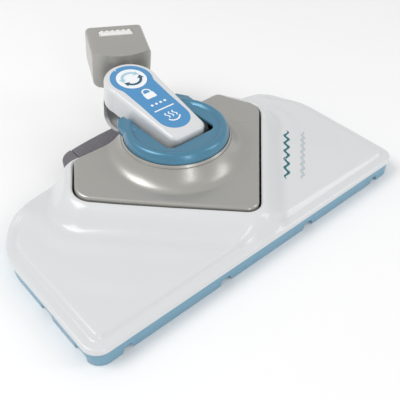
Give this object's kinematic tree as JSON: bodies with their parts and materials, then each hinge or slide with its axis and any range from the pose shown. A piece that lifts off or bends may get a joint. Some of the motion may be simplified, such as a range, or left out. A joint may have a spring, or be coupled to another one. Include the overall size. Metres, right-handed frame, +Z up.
{
  "type": "steam mop floor head",
  "caption": "Wide floor head of a steam mop with a lift-out grey detail head, a blue hub ring, a tilting labelled arm and a swivelling handle socket with a release button.",
  "frame": {"origin": "on the floor, on the vertical axis of the hub ring", "axes": "+X along the long front edge, to the right seen from behind the front edge; +Y to the rear, where the handle leaves; +Z up"},
  "size_m": [0.2982, 0.2424, 0.0847],
  "materials": {
    "white_gloss": "glossy white moulding",
    "band_blue": "satin pale blue",
    "warm_grey": "satin metallic warm grey lacquer",
    "hub_blue": "metallic blue lacquer",
    "label_blue": "printed glossy label",
    "dark_grip": "fine rough texture",
    "black_plastic": "plain black",
    "pale_grey": "plain moulding",
    "button_white": "glossy white",
    "steel": "plain",
    "brass": "satin",
    "rubber": "matt",
    "pad": "hook tape"
  },
  "bodies": {
    "carriage": {"outer_shell": "white_gloss", "base_plate": "band_blue", "base_screws": "steel", "pad_strips": "pad", "rear_step": "dark_grip", "pedal_pin": "steel", "pedal_spring": "steel"},
    "release_pedal": {"release_pedal": "dark_grip"},
    "detail_head": {"detail_cover": "warm_grey", "detail_tray": "black_plastic", "detail_screws": "steel", "detail_pads": "pad", "hub_ring": "hub_blue", "bearing_bracket_left": "pale_grey", "bearing_bracket_right": "pale_grey", "tilt_bushes": "brass", "detent_plunger": "brass", "detent_spring": "steel", "steam_manifold": "pale_grey", "steam_elbow": "brass", "steam_hose": "rubber"},
    "arm": {"arm_shell": "white_gloss", "arm_label": "label_blue", "lower_cup": "white_gloss", "tilt_axle": "steel", "swivel_pin": "steel", "swivel_washers": "pale_grey", "arm_steam_tube": "rubber", "steam_coupling": "brass"},
    "neck": {"neck_housing": "warm_grey", "neck_knuckle": "pale_grey", "neck_screws": "steel", "socket_liner": "black_plastic", "steam_inlet": "brass", "inlet_seal": "rubber", "button_spring": "steel"},
    "release_button": {"release_button": "button_white"}
  },
  "joints": [
    {"name": "detail_lift", "type": "slide", "parent": "carriage", "child": "detail_head", "axis": [0, 0, 1], "range_m": [0, 0.06]},
    {"name": "arm_tilt", "type": "hinge", "parent": "detail_head", "child": "arm", "pos_m": [0, 0.002, 0.042], "axis": [1, 0, 0], "range_deg": [-6, 84]},
    {"name": "neck_swivel", "type": "hinge", "parent": "arm", "child": "neck", "pos_m": [0, 0.05929, 0.05107], "axis": [0, -0.1564, 0.9877], "range_deg": [-8.6, 55.4]},
    {"name": "release_button", "type": "slide", "parent": "neck", "child": "release_button", "axis": [0, 0.1564, -0.9877], "range_m": [0, 0.0025], "stiffness_N_per_m": 800, "springref_m": -0.0012},
    {"name": "release_pedal", "type": "hinge", "parent": "carriage", "child": "release_pedal", "pos_m": [0, 0.0495, 0.0095], "axis": [1, 0, 0], "range_deg": [-9, 0], "stiffness_Nm_per_rad": 0.6, "springref_deg": 5.73}
  ]
}
